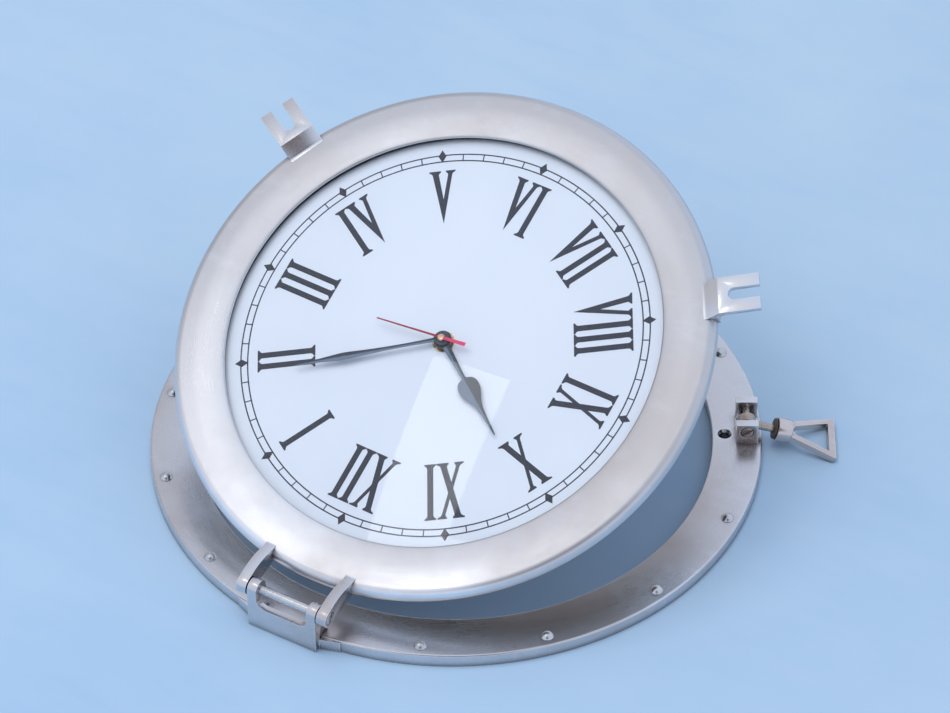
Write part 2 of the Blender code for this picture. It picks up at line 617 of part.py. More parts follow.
def make_case(frame):
    outline = rounded_box(CASE_HALF, CASE_HALF, 0.002)
    inner = CASE_HALF - WALL
    pocket = 0.0008
    knob_cup = 0.0062

    front = part("movement_front_case", flat([outline], CASE_SPLIT + GAP, CASE_FRONT), BLACK, frame)
    wheels = box((-inner, inner), (BAY_WALL_Y + 0.0005, inner), (0.0, ROOF))
    bay = box((-inner, inner), (-inner, BAY_WALL_Y - 0.0005), (0.0, ROOF))
    cut(front, wheels)
    cut(front, bay)
    gaps = [box((sign * 0.0264 - 0.0007, sign * 0.0264 + 0.0006), (-0.0132, -0.0116), (0.0, 0.0112))
            for sign in (-1, 1)]
    cut(front, joined(gaps))
    cut(front, rod(0.0040 + GAP, 0.012, 0.018, 20))
    cut(front, joined([rod(0.0010, 0.014, 0.0157, 10, THIRD_AT), rod(0.0011, 0.014, 0.0157, 10, MINUTE_AT)]))

    rear = part("movement_rear_case", flat([outline], CASE_BACK, CASE_SPLIT), BLACK, frame)
    cut(rear, box((-inner, inner), (BAY_WALL_Y + 0.0005, inner), (FLOOR_TOP, 0.01)))
    cut(rear, box((-inner, inner), (-inner, BAY_WALL_Y - 0.0005), (0.0, 0.01)))
    weld(rear, rod(knob_cup, 0.0015, 0.0045, 24, MINUTE_AT))
    cut(rear, rod(0.0054, 0.0, 0.0037, 24, MINUTE_AT))
    cut(rear, rod(0.0011, 0.0, 0.006, 12, MINUTE_AT))
    cut(rear, joined([rod(pocket, 0.0015, 0.003, 10, (0, 0)), rod(pocket, 0.0015, 0.003, 10, STEP_AT),
                      rod(pocket, 0.0015, 0.003, 10, ROTOR_AT), rod(0.0010, 0.0015, 0.003, 10, THIRD_AT)]))

    # threaded bushing with a flange inside the front case, then washer and hex nut over the dial
    bushing = [(0.0040, 0.0212), (0.0040, 0.0147), (0.0056, 0.0147), (0.0056, 0.0143), (0.0029, 0.0143),
               (0.0029, 0.0212)]
    part("mounting_bushing", turned(bushing, 20), BRASS, frame)
    top = DIAL_Z + DIAL_THICK + GAP
    washer = [(0.0078, top + 0.0005), (0.0078, top), (0.0043, top), (0.0043, top + 0.0005)]
    part("bushing_washer", turned(washer, 20), BRASS, frame)
    low = top + 0.0005 + GAP
    part("bushing_nut", flat([circle(0.0062, 6), circle(0.0043, 20)], low, low + 0.0021), BRASS, frame)

    # centre plate: carries the upper pivots of rotor and step wheel
    plate_low, plate_high = 0.0084, 0.0092
    plate = [(-0.0262, -0.0112), (0.0262, -0.0112), (0.0262, 0.0180), (-0.0262, 0.0180)]
    bridge = part("centre_plate", flat([plate], plate_low, plate_high), GEAR, frame)
    cut(bridge, joined([rod(0.0008, 0.008, 0.010, 10, STEP_AT), rod(0.0008, 0.008, 0.010, 10, ROTOR_AT),
                        rod(0.0010, 0.008, 0.010, 10, THIRD_AT), rod(0.0011, 0.008, 0.010, 10, MINUTE_AT),
                        rod(0.0008, 0.008, 0.010, 10, (0, 0))]))


def make_electrics(frame):
    low, high = 0.0066, 0.0078
    ring = arc(ROTOR_AT, 0.0056, -150, 20, 14)
    left, right = -0.0140, 0.0112
    top = 0.0245
    outline = ring + [(right, 0.0170), (right, 0.0205), (right, top), (left, top), (left, 0.0110),
                      (-0.0005, 0.0110)]
    window = [(-0.0110, 0.0140), (-0.0010, 0.0140), (0.0010, 0.0186), (0.0080, 0.0186), (0.0080, 0.0212),
              (-0.0110, 0.0212)]
    stator = part("stator", flat([outline, window], low, high), STEEL, frame)
    cut(stator, rod(0.0038, 0.005, 0.009, 20, ROTOR_AT))

    # the coil is wound round the stator's top limb
    middle_y, middle_z = (0.0212 + top) / 2, (low + high) / 2
    turn = Matrix.Translation((0, middle_y, middle_z)) @ turned_about(pi / 2, "Y")
    winding = [(0.0023, 0.0076), (0.0038, 0.0076), (0.0038, -0.0100), (0.0023, -0.0100)]
    part("coil", moved(turned(winding, 20), turn), COPPER, frame)

    board = part("circuit_board", box((-0.0262, -0.0145), (0.0100, 0.0262), (0.0034, 0.0044)), BOARD, frame)
    weld(board, rod(0.0030, 0.0040, 0.0056, 16, (-0.0200, 0.0200)))

    # battery: can, shoulder and nub along X
    lie = Matrix.Translation((0, -0.0199, 0.0079)) @ turned_about(pi / 2, "Y")
    cell = [(0, 0.0252), (0.0027, 0.0252), (0.0027, 0.0240), (0.0060, 0.0240), (0.0067, 0.0233),
            (0.0067, -0.0243), (0.0062, -0.0248), (0, -0.0248)]
    part("battery", moved(turned(cell, 24, closed=False), lie), CELL, frame)

    for name, sign in (("battery_contact_positive", 1), ("battery_contact_negative", -1)):
        x = sorted((sign * 0.0260, sign * 0.0264))
        strip = part(name, box(x, (-0.0235, 0.0080), (0.0056, 0.0078)), STEEL, frame)
        x = sorted((sign * 0.0255, sign * 0.0262))
        weld(strip, box(x, (-0.0222, -0.0176), (0.0060, 0.0074)))


# ================================================================ assembly
def main():
    make_base()
    make_hinge()
    for side in DOG_ANGLES:
        make_dog(side)
    hinge = empty("door_hinge", (0, PIN_Y, PIN_Z), turned_about(OPEN_ANGLE, "X"))
    make_door(hinge)
    movement = empty("movement_frame", (0, -PIN_Y, -PIN_Z), None, hinge)
    make_case(movement)
    make_electrics(movement)
    seconds, minutes, hours = make_train(movement)
    make_hands(seconds, minutes, hours)
    bpy.context.view_layer.update()


main()
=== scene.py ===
"""Looks of the porthole-style deck clock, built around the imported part.

Lengths are in metres.  Pieces of the door and of its movement are modelled with the door shut, where the
clock's axis is Z, and then carried to where the open door holds them.
"""

import json
from math import cos, degrees, pi, radians, sin

import bmesh
import bpy
from mathutils import Matrix, Vector


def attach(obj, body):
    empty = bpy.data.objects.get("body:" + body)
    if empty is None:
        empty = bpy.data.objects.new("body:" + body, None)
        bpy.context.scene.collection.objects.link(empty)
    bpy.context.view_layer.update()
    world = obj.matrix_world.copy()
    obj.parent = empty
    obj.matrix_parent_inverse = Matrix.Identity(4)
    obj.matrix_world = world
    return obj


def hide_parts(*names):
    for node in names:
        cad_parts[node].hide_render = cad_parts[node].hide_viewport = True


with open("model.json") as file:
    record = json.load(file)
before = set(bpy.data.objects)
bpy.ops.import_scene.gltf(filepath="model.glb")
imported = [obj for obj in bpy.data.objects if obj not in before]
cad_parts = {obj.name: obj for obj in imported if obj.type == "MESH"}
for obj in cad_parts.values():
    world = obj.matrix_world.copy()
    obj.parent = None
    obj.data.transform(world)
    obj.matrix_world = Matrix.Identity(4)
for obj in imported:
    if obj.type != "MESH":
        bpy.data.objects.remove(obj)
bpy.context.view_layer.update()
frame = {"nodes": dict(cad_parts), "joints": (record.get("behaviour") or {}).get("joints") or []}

SCENE = bpy.context.scene
JOINTS = {joint["name"]: joint for joint in frame["joints"]}

# ---------------------------------------------------------------- places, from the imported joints
PIN = Vector(JOINTS["door_hinge"]["pos_m"])
OPEN = radians(-JOINTS["door_hinge"]["range_deg"][0])
DOOR = Matrix.Translation(PIN) @ Matrix.Rotation(OPEN, 4, "X") @ Matrix.Translation(-PIN)
WORLD = Matrix.Identity(4)
DOG_ANGLES = {"right": radians(30), "left": radians(150)}

# ---------------------------------------------------------------- sizes
BASE_INNER, BASE_OUTER, BASE_THICK = 0.181, 0.216, 0.010
RIVET_CIRCLE, RIVET_HEAD = 0.207, 0.0048
MOUNT_CIRCLE = 0.1896
DOG_RADIUS, DOG_Z, DOG_DROOP = 0.205, 0.021, radians(16.35)
ARM_INNER, ARM_OUTER = 0.028, 0.0355
PIN_RADIUS, PIN_HEAD, PIN_GAP = 0.003, 0.0045, 0.0002
PIVOT_BORE, SCREW_BORE = 0.0027, 0.0049     # through the clevis, and its counterbore
LUG_HALF, LUG_END, SLOT_ROOT, SLOT_HALF = 0.0135, 0.2238, 0.2062, 0.0045
DOOR_LIP, DOOR_CREST, DOOR_FOOT = 0.1552, 0.0260, 0.187
SEAT = 0.1607                     # radius of what lies in the door's rebate
DIAL_TOP, DIAL_LOW, DIAL_BORE = 0.0175, 0.0163, 0.0043
GLASS_LOW, GLASS_THICK, GLASS_RIM, GLASS_DOME = 0.0196, 0.0020, 0.1580, 0.0090
CLAMP_LOW, CLAMP_SCREW_CIRCLE = 0.0142, 0.1658
DIAL_TURN = radians(-1.6)
HOURS, MINUTES, SECONDS = 10, 9, 14
NUMERALS = ("XII", "I", "II", "III", "IV", "V", "VI", "VII", "VIII", "IX", "X", "XI")


# ================================================================ meshes
def mesh_from(work):
    mesh = bpy.data.meshes.new("piece")
    work.to_mesh(mesh)
    work.free()
    return mesh


def moved(mesh, matrix):
    mesh.transform(matrix)
    return mesh


def evaluated(thing):
    """The object's mesh with its modifiers applied; the object is removed."""
    bpy.context.view_layer.update()
    mesh = bpy.data.meshes.new_from_object(thing.evaluated_get(bpy.context.evaluated_depsgraph_get()))
    bpy.data.objects.remove(thing, do_unlink=True)
    return mesh


def placed(mesh):
    thing = bpy.data.objects.new("work", mesh)
    SCENE.collection.objects.link(thing)
    return thing


def solved(mesh, *steps):
    """Apply (operation, mesh) Boolean steps to a mesh."""
    thing = placed(mesh)
    tools = [placed(other) for _, other in steps]
    for (operation, _), tool in zip(steps, tools):
        modifier = thing.modifiers.new(operation, "BOOLEAN")
        modifier.operation = operation
        modifier.solver = "EXACT"
        modifier.object = tool
    result = evaluated(thing)
    for tool in tools:
        bpy.data.objects.remove(tool, do_unlink=True)
    return result


def turned(profile, steps=192, closed=True):
    """Turn an (r, z) outline about Z; it runs down its outer side."""
    links = [(i, i + 1) for i in range(len(profile) - 1)] + ([(len(profile) - 1, 0)] if closed else [])
    mesh = bpy.data.meshes.new("profile")
    mesh.from_pydata([(r, 0, z) for r, z in profile], links, [])
    thing = placed(mesh)
    screw = thing.modifiers.new("turn", "SCREW")
    screw.angle = 2 * pi
    screw.steps = screw.render_steps = steps
    screw.use_merge_vertices = True
    screw.merge_threshold = 0.00001
    return evaluated(thing)


def flat(loops, low, high):
    """A plate between two heights; inner outlines are holes."""
    curve = bpy.data.curves.new("outline", "CURVE")
    curve.dimensions = "2D"
    curve.fill_mode = "BOTH"
    curve.extrude = (high - low) / 2
    for points in loops:
        spline = curve.splines.new("POLY")
        spline.points.add(len(points) - 1)
        for place, point in zip(spline.points, points):
            place.co = (point[0], point[1], 0, 1)
        spline.use_cyclic_u = True
    work = bmesh.new()
    work.from_mesh(evaluated(placed(curve)))
    bmesh.ops.remove_doubles(work, verts=work.verts, dist=0.000002)
    bmesh.ops.recalc_face_normals(work, faces=work.faces)
    work.transform(Matrix.Translation((0, 0, (high + low) / 2)))
    return mesh_from(work)


def box(x, y, z):
    work = bmesh.new()
    bmesh.ops.create_cube(work, size=1.0)
    size = Vector((x[1] - x[0], y[1] - y[0], z[1] - z[0]))
    middle = Vector((x[1] + x[0], y[1] + y[0], z[1] + z[0])) / 2
    work.transform(Matrix.Translation(middle) @ Matrix.Diagonal((*size, 1)))
    return mesh_from(work)


def rod(radius, low, high, sides=48):
    return turned([(0, high), (radius, high), (radius, low), (0, low)], sides, closed=False)


def joined(meshes):
    work = bmesh.new()
    for mesh in meshes:
        work.from_mesh(mesh)
    return mesh_from(work)


def arc(centre, radius, first, last, steps):
    """Points along an arc between two angles in degrees."""
    angles = [radians(first + (last - first) * i / steps) for i in range(steps + 1)]
    return [(centre[0] + radius * cos(a), centre[1] + radius * sin(a)) for a in angles]


def smooth_line(points, per=6):
    """A Catmull-Rom curve through the points."""
    ends = [points[0], *points, points[-1]]
    line = []
    for a, b, c, d in zip(ends, ends[1:], ends[2:], ends[3:]):
        for step in range(per):
            t = step / per
            line.append(tuple(0.5 * (2 * q + (r - p) * t + (2 * p - 5 * q + 4 * r - s) * t * t
                                     + (3 * q - p - 3 * r + s) * t ** 3)
                              for p, q, r, s in zip(a, b, c, d)))
    return line + [points[-1]]


def rounded(points, radius, steps=4):
    """Round the corners of a closed outline; radius is one number or one for each corner."""
    radii = radius if isinstance(radius, (list, tuple)) else [radius] * len(points)
    out = []
    for k, point in enumerate(points):
        here, before, after = (Vector(p) for p in (point, points[k - 1], points[(k + 1) % len(points)]))
        if radii[k] == 0:
            out.append(tuple(here))
            continue
        one, two = (before - here).normalized(), (after - here).normalized()
        reach = min(radii[k] / max(0.1, (1 - one.dot(two)) / 2) ** 0.5,
                    0.49 * (before - here).length, 0.49 * (after - here).length)
        for step in range(steps + 1):
            t = step / steps
            out.append(tuple(here + one * reach * (1 - t) ** 2 + two * reach * t ** 2))
    return out


def spun(angle, axis="Z"):
    return Matrix.Rotation(angle, 4, axis)


SIDEWAYS = Matrix(((0, 0, 1, 0), (1, 0, 0, 0), (0, 1, 0, 0), (0, 0, 0, 1)))     # X, Y -> Y, Z
UPRIGHT = Matrix(((1, 0, 0, 0), (0, 0, -1, 0), (0, 1, 0, 0), (0, 0, 0, 1)))     # X, Y -> X, Z


# ================================================================ materials
class Look:
    """A Principled material with short ways to add nodes."""

    def __init__(self, name, colour, roughness=0.5, metallic=0.0):
        self.material = bpy.data.materials.new(name)
        self.material.use_nodes = True
        self.tree = self.material.node_tree
        self.shader = self.tree.nodes["Principled BSDF"]
        self.set(self.shader, {"Base Color": (*colour, 1), "Roughness": roughness, "Metallic": metallic})
        self.material.diffuse_color = (*colour, 1)

    def set(self, node, values):
        for name, value in values.items():
            if isinstance(value, bpy.types.NodeSocket):
                self.tree.links.new(value, node.inputs[name])
            else:
                node.inputs[name].default_value = value

    def node(self, kind, values=None, **settings):
        made = self.tree.nodes.new("ShaderNode" + kind)
        for name, value in settings.items():
            setattr(made, name, value)
        self.set(made, values or {})
        return made

    def place(self, on_door=False):
        """Object coordinates, or those of the shut door for a piece that is stored with the door open."""
        place = self.node("TexCoord").outputs["Object"]
        if on_door:
            place = self.node("VectorRotate", {"Vector": place, "Center": PIN, "Angle": -OPEN},
                              rotation_type="X_AXIS").outputs[0]
        return place

    def stretched(self, vector, scale):
        return self.node("Mapping", {"Vector": vector, "Scale": scale}).outputs[0]

    def polar(self, place, turn, across):
        """Coordinates wound round Z: long strokes along the circle, fine across it."""
        split = self.node("SeparateXYZ", {"Vector": place}).outputs
        angle = self.math("ARCTAN2", split[1], split[0])
        level = self.node("CombineXYZ", {"X": split[0], "Y": split[1]}).outputs[0]
        radius = self.node("VectorMath", {0: level}, operation="LENGTH").outputs["Value"]
        return self.node("CombineXYZ", {"X": self.math("MULTIPLY", angle, turn),
                                        "Y": self.math("MULTIPLY", radius, across),
                                        "Z": self.math("MULTIPLY", split[2], across)}).outputs[0]

    def math(self, operation, one, two=0.0):
        return self.node("Math", {0: one, 1: two}, operation=operation).outputs[0]

    def noise(self, vector, scale, detail=4.0, roughness=0.55):
        return self.node("TexNoise", {"Vector": vector, "Scale": scale, "Detail": detail,
                                      "Roughness": roughness}).outputs["Fac"]

    def span(self, value, low, high, out_low=0.0, out_high=1.0):
        """Map a value's range onto another one, with clamped ends."""
        return self.node("MapRange", {"Value": value, "From Min": low, "From Max": high, "To Min": out_low,
                                      "To Max": out_high}).outputs[0]

    def mix(self, amount, one, two):
        made = self.node("Mix", data_type="RGBA")
        for slot, value in ((0, amount), (6, one), (7, two)):
            if isinstance(value, bpy.types.NodeSocket):
                self.tree.links.new(value, made.inputs[slot])
            else:
                made.inputs[slot].default_value = value if slot == 0 else (*value, 1)
        return made.outputs[2]

    def bump(self, height, strength, distance):
        return self.node("Bump", {"Height": height, "Strength": strength, "Distance": distance}).outputs[0]

    def edges(self, radius=0.0012):
        """Near 1 on worn convex edges."""
        soft = self.node("Bevel", {"Radius": radius}, samples=4).outputs[0]
        sharp = self.node("NewGeometry").outputs["Normal"]
        facing = self.node("VectorMath", {0: soft, 1: sharp}, operation="DOT_PRODUCT").outputs["Value"]
        return self.span(facing, 0.80, 0.99, 1.0, 0.0)

    def corners(self, distance=0.007):
        """Near 1 in tight gaps and round the feet of parts: an ambient occlusion mask for painted shade."""
        # painted shade: ambient occlusion picks out where little open sky is seen
        open_sky = self.node("AmbientOcclusion", {"Distance": distance}, samples=4).outputs["AO"]
        return self.span(open_sky, 0.30, 0.85, 0.85, 0.0)

    def end(self, **values):
        self.set(self.shader, {name.replace("_", " "): value for name, value in values.items()})
        return self.material


def nickel(name, strokes, tone=(0.74, 0.73, 0.745), warm=(0.66, 0.61, 0.59), rough=0.30, on_door=False):
    """Satin nickel: brush strokes round Z or fine grain, smudges, stains, painted shade in corners, worn
    edges.

    On the door the colour is painted lighter at the hinge side and darker from the middle on: painted light
    and shade.
    """
    look = Look(name, tone, rough, 1.0)
    place = look.place(on_door)
    clouds = look.noise(place, 9.0, 5.0, 0.6)
    smears = look.noise(look.stretched(place, (1.0, 1.7, 1.3)), 31.0, 5.0, 0.65)
    if strokes:
        fine = look.noise(look.polar(place, 5.0, 1500.0), 1.0, 3.0, 0.7)
    else:
        fine = look.noise(look.stretched(place, (300.0, 900.0, 900.0)), 2.0, 3.0, 0.7)
    # painted light and shade: on the door ring the colour runs from light at the hinge side to darker from
    # the middle on
    if on_door:
        height = look.node("SeparateXYZ", {"Vector": place}).outputs[1]
        tone = look.mix(look.span(height, -0.19, 0.0), (0.95, 0.94, 0.95), (0.63, 0.63, 0.65))
    stains_and_painted_light = look.mix(look.span(clouds, 0.42, 0.72, 0.0, 0.80), tone, warm)
    stains_and_painted_light = look.mix(look.span(smears, 0.52, 0.78, 0.0, 0.45), stains_and_painted_light, (0.82, 0.81, 0.85))
    # painted shade: dark brown in tight gaps and round the feet of parts, where ambient occlusion finds
    # little open sky
    stains_and_painted_light = look.mix(look.corners(), stains_and_painted_light, (0.12, 0.085, 0.07))
    worn = look.mix(look.edges(), stains_and_painted_light, (0.92, 0.91, 0.92))
    soft = look.math("ADD", look.span(clouds, 0.3, 0.75, rough - 0.03, rough + 0.10),
                     look.span(fine, 0.3, 0.7, -0.035, 0.045))
    soft = look.math("ADD", soft, look.span(smears, 0.5, 0.8, 0.0, 0.06))
    return look.end(Base_Color=worn, Roughness=soft, Normal=look.bump(fine, 0.10, 0.0003))


def bright_steel(name, tone=(0.70, 0.69, 0.69), rough=0.22):
    """Turned metal with a fine grain and slightly darker clouds; also brass, bronze and copper."""
    look = Look(name, tone, rough, 1.0)
    place = look.place()
    grain = look.noise(place, 700.0, 3.0)
    cloud = look.noise(place, 90.0, 4.0)
    return look.end(Base_Color=look.mix(look.span(cloud, 0.4, 0.7), tone, tuple(0.72 * c for c in tone)),
                    Roughness=look.span(grain, 0.3, 0.7, rough - 0.06, rough + 0.10),
                    Normal=look.bump(grain, 0.08, 0.0002))


def moulded(name, tone, rough=0.45, scale=1400.0, strength=0.12):
    """Plastic, lacquer or rubber with a faint moulded grain and uneven gloss."""
    look = Look(name, tone, rough)
    place = look.place()
    grain = look.noise(place, scale, 3.0)
    cloud = look.noise(place, 60.0, 4.0)
    lighter = tuple(min(1.0, 1.12 * c + 0.004) for c in tone)
    return look.end(Base_Color=look.mix(look.span(cloud, 0.35, 0.7), tone, lighter),
                    Roughness=look.span(cloud, 0.3, 0.7, rough - 0.05, rough + 0.08),
                    Normal=look.bump(grain, strength, 0.0001))


def dial_lacquer():
    """White lacquer with a cool tint and a faint tooth."""
    look = Look("dial_lacquer", (0.75, 0.80, 0.90), 0.55)
    place = look.place()
    cloud = look.noise(place, 7.0, 3.0)
    tooth = look.noise(place, 2500.0, 2.0)
    white = look.mix(look.span(cloud, 0.35, 0.65), (0.735, 0.785, 0.89), (0.765, 0.81, 0.91))
    return look.end(Base_Color=white, Normal=look.bump(tooth, 0.04, 0.00005))


def hardboard():
    """Brown pressed board with short fibres and darker patches."""
    look = Look("hardboard_back", (0.26, 0.16, 0.09), 0.75)
    place = look.place()
    fibre = look.noise(look.stretched(place, (1.0, 2.4, 1.0)), 420.0, 6.0, 0.7)
    cloud = look.noise(place, 16.0, 4.0)
    brown = look.mix(look.span(fibre, 0.35, 0.7), (0.20, 0.12, 0.065), (0.36, 0.235, 0.14))
    return look.end(Base_Color=look.mix(look.span(cloud, 0.4, 0.7, 0.0, 0.4), brown, (0.17, 0.10, 0.06)),
                    Normal=look.bump(fibre, 0.25, 0.0004))


def clear_glass():
    """A thin clear dome: it passes light straight through and mirrors a little, more at a slant."""
    look = Look("clear_glass", (1.0, 1.0, 1.0), 0.02)
    film = look.noise(look.place(), 14.0, 4.0)
    haze = look.span(film, 0.45, 0.8, 0.01, 0.05)
    mirror = look.node("BsdfGlossy", {"Color": (1, 1, 1, 1), "Roughness": haze})
    clear = look.node("BsdfTransparent", {"Color": (0.975, 0.985, 0.99, 1)})
    share = look.node("Fresnel", {"IOR": 1.34}).outputs[0]
    mixed = look.node("MixShader", {0: share, 1: clear.outputs[0], 2: mirror.outputs[0]})
    output = look.tree.nodes["Material Output"]
    look.tree.links.new(mixed.outputs[0], output.inputs["Surface"])
    look.tree.nodes.remove(look.shader)
    return look.material


def printed_ink():
    """Dark slate ink, a little uneven."""
    look = Look("dial_ink", (0.012, 0.015, 0.032), 0.45)
    spread = look.noise(look.place(), 300.0, 3.0)
    return look.end(Base_Color=look.mix(spread, (0.008, 0.010, 0.022), (0.018, 0.022, 0.045)))


def wire():
    """Copper wire wound side by side."""
    look = Look("enamelled_wire", (0.72, 0.30, 0.12), 0.25, 1.0)
    place = look.place()
    turns = look.node("TexWave", {"Vector": place, "Scale": 1600.0, "Distortion": 0.6},
                      bands_direction="X").outputs["Fac"]
    return look.end(Base_Color=look.mix(turns, (0.42, 0.15, 0.06), (0.82, 0.38, 0.16)),
                    Normal=look.bump(turns, 0.7, 0.0004))


# the door ring's nickel carries painted light and shade: lighter at the hinge side, darker from the middle on
RING_METAL = nickel("nickel_ring", True, on_door=True)
BASE_METAL = nickel("nickel_base", True, (0.70, 0.68, 0.69), (0.56, 0.48, 0.45), 0.25)
CAST_METAL = nickel("nickel_cast", False, (0.74, 0.72, 0.73), (0.56, 0.48, 0.45), 0.20)
LUG_METAL = nickel("nickel_lug", False, (0.80, 0.80, 0.82), (0.64, 0.60, 0.60), 0.20)
LOOP_METAL = nickel("nickel_loop", False, (0.72, 0.62, 0.58), (0.46, 0.31, 0.26), 0.16)
STEEL = bright_steel("turned_steel")
AGED_STEEL = bright_steel("aged_steel", (0.52, 0.44, 0.38), 0.26)
# bronze taken very dark: partly the washer's own bronze, partly painted shade for its face
BRONZE_WITH_PAINTED_SHADE = bright_steel("bronze_with_painted_shade", (0.16, 0.105, 0.08), 0.38)
PLATED = bright_steel("plated_steel", (0.62, 0.62, 0.60), 0.34)
BRASS = bright_steel("turned_brass", (0.80, 0.60, 0.28), 0.24)
COPPER = bright_steel("copper_cap", (0.88, 0.52, 0.36), 0.22)
GLASS = clear_glass()
DIAL = dial_lacquer()
INK = printed_ink()
BOARD_BACK = hardboard()
RUBBER = moulded("rubber", (0.018, 0.018, 0.02), 0.7, 900.0, 0.3)
BLACK = moulded("black_plastic", (0.022, 0.023, 0.026), 0.42)
# painted light: the hands' slate as a shaded copy and a lit copy, one for each facet of a ridge
SLATE_PAINTED_SHADE = moulded("hand_slate_painted_shade", (0.018, 0.026, 0.045), 0.30, strength=0.03)
SLATE_PAINTED_LIT = moulded("hand_slate_painted_lit", (0.10, 0.145, 0.22), 0.32, strength=0.03)
RED = moulded("hand_red", (0.30, 0.006, 0.030), 0.35, strength=0.03)
PINK = moulded("hand_tail_red", (0.72, 0.03, 0.13), 0.35, strength=0.03)
ACETAL = moulded("gear_acetal", (0.80, 0.78, 0.70), 0.35)
BOARD = moulded("circuit_green", (0.02, 0.16, 0.06), 0.40, 500.0)
CELL = moulded("cell_sleeve", (0.05, 0.06, 0.10), 0.28)
WIRE = wire()


# ================================================================ pieces
def piece(name, mesh, material, body, nodes=(), matrix=WORLD, bevel=0.0, segments=2, angle=32):
    """One visible piece: softened edges, a material, the body it rides on and the CAD it stands for."""
    mesh.materials.clear()
    mesh.materials.append(material)
    thing = bpy.data.objects.new(name, mesh)
    SCENE.collection.objects.link(thing)
    if bevel:
        edge = thing.modifiers.new("edge", "BEVEL")
        edge.width = bevel
        edge.segments = segments
        edge.limit_method = "ANGLE"
        edge.angle_limit = radians(angle)
        mesh = evaluated(thing)
        thing = bpy.data.objects.new(name, mesh)
        SCENE.collection.objects.link(thing)
    mesh.shade_smooth()
    mesh.set_sharp_from_angle(angle=radians(angle))
    mesh.transform(matrix)
    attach(thing, body)
    if nodes:
        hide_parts(*nodes)


def make_base():
    """The ring against the wall, with two countersunk holes and twelve rivets."""
    crown, lip, foot = 0.0016, 0.0008, 0.0006
    profile = (arc((BASE_INNER + lip, BASE_THICK - lip), lip, 180, 90, 4)
               + arc((BASE_OUTER - crown, BASE_THICK - crown), crown, 90, 0, 8)
               + arc((BASE_OUTER - foot, foot), foot, 0, -90, 3)
               + arc((BASE_INNER + foot, foot), foot, 270, 180, 3))
    sink = turned([(0, 0.0115), (0.0060, 0.0115), (0.0050, BASE_THICK), (0.0035, 0.0080), (0.0035, -0.001),
                   (0, -0.001)], 40, closed=False)
    sinks = [moved(sink.copy(), Matrix.Translation((MOUNT_CIRCLE * cos(angle), MOUNT_CIRCLE * sin(angle), 0)))
             for angle in DOG_ANGLES.values()]
    ring = solved(turned(profile, 240), ("DIFFERENCE", joined(sinks)))
    piece("base_ring_fine", ring, BASE_METAL, "base", ["base_ring"])

    head = BASE_THICK + 0.0001
    dome = arc((0, head - 0.0018), RIVET_HEAD, 90, 25, 9)
    shank = [(0.0045, head + 0.00005), (0.0020, head), (0.0020, 0.0012), (0.0, 0.0012)]
    rivet = turned([(max(0.0, r), z) for r, z in dome] + shank, 32, closed=False)
    stations = [k for k in range(15) if k % 5]            # the hinge and the two dogs take the others
    for number, k in enumerate(stations, 1):
        angle = -pi / 2 + radians(24) * k
        spot = Matrix.Translation((RIVET_CIRCLE * cos(angle), RIVET_CIRCLE * sin(angle), 0))
        piece(f"rivet_fine_{number:02d}", moved(rivet.copy(), spot), STEEL, "base",
              [f"rivet_{number:02d}"])


def make_hinge():
    """The bracket: two ears on a web, with a thin foot along the ring's edge. Then its slotted pin."""
    pin_at = Matrix.Translation(PIN) @ spun(pi / 2, "Y")
    ear_in, ear_out, ear_radius, ear_top = 0.020, 0.027, 0.0065, 0.039
    back, depth, web, fillet, low = -0.222, 0.016, 0.0195, 0.007, 0.0005
    left = [(-ear_out, low), (-ear_out, ear_top), (-ear_in, ear_top)]
    left += arc((-ear_in + fillet, web + fillet), fillet, 180, 270, 10)
    outline = left + [(-x, z) for x, z in reversed(left)]
    front = moved(flat([outline], 0.0, depth), Matrix.Translation((PIN.x, back + depth, 0)) @ UPRIGHT)
    side = [(back - 0.001, low - 0.001), (back, PIN.z)] + arc((PIN.y, PIN.z), ear_radius, 180, 0, 24)
    side += [(-0.2062, BASE_THICK + 0.0003), (-0.2168, BASE_THICK + 0.0003), (-0.2168, low - 0.001)]
    spread, steps = 11, 40
    middle = -90 + degrees(PIN.x / BASE_OUTER)
    foot = []
    for k in range(steps + 1):
        turn = 2 * k / steps - 1
        angle = radians(middle + spread * turn)
        radius = BASE_OUTER + 0.0007 + 0.0050 * (1 - turn ** 2) ** 1.3
        foot.append((radius * cos(angle), radius * sin(angle)))
    foot += arc((0, 0), BASE_OUTER + 0.0001, middle + spread, middle - spread, steps)
    shape = solved(front, ("INTERSECT", moved(flat([side], -0.04, 0.04), SIDEWAYS)),
                   ("DIFFERENCE", box((PIN.x - ear_in, PIN.x + ear_in), (-0.2168, -0.200), (0.005, 0.05))),
                   ("UNION", flat([foot], low, 0.0092)),
                   ("DIFFERENCE", moved(rod(PIN_RADIUS + PIN_GAP, -0.05, 0.05), pin_at)))
    piece("hinge_bracket_fine", shape, CAST_METAL, "base", ["hinge_bracket"],
          bevel=0.0006, segments=3)

    head, shoulder, soft = ARM_OUTER + 0.0003, ARM_OUTER - 0.0022, 0.0005
    pin = turned([(0, head)] + arc((PIN_HEAD - soft, head - soft), soft, 90, 0, 4)
                 + [(PIN_HEAD, shoulder), (PIN_RADIUS, shoulder), (PIN_RADIUS, -ARM_OUTER + 0.0004),
                    (PIN_RADIUS - 0.0004, -ARM_OUTER), (0, -ARM_OUTER)], 48, closed=False)
    slot = moved(box((ARM_OUTER - 0.0009, ARM_OUTER + 0.002), (-0.0005, 0.0005), (-0.006, 0.006)),
                 spun(radians(-28), "X"))
    pin = solved(moved(pin, spun(pi / 2, "Y")), ("DIFFERENCE", slot))
    piece("hinge_pin_fine", moved(pin, Matrix.Translation(PIN)), STEEL, "base", ["hinge_pin"])


